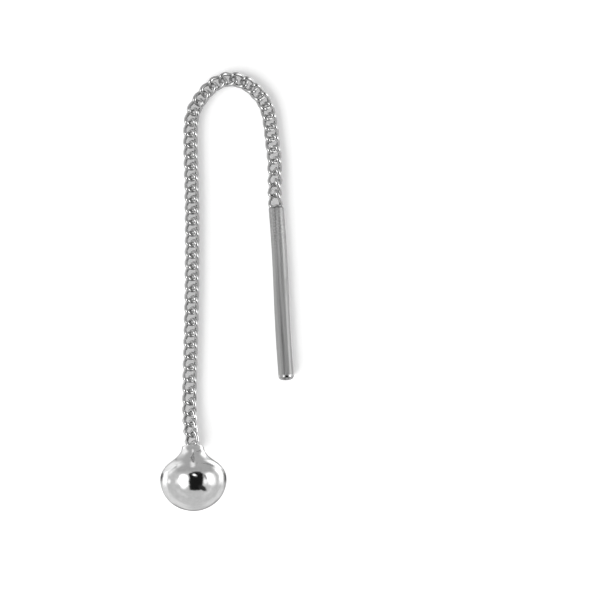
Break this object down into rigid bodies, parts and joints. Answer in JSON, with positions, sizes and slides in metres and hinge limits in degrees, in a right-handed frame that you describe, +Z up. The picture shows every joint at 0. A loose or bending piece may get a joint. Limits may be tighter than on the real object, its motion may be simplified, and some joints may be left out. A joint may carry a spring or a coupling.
{
  "type": "threader earring",
  "caption": "Threader earring lying flat: a hollow drop bead, a fine curb chain bent round as it hangs in an ear, and a straight bar that is threaded through the ear.",
  "frame": {"origin": "middle of the earring's outline on the surface it lies on", "axes": "+Z up from the surface, +Y from the bead towards the bend of the chain, +X from the strand with the bead towards the bar"},
  "size_m": [0.0101, 0.0331, 0.005],
  "materials": {
    "polished_silver": "polished",
    "chain_silver": "polished",
    "satin_silver": "satin"
  },
  "bodies": {
    "root": {"bead": "polished_silver", "chain": "chain_silver", "ear_bar": "satin_silver"}
  },
  "joints": []
}
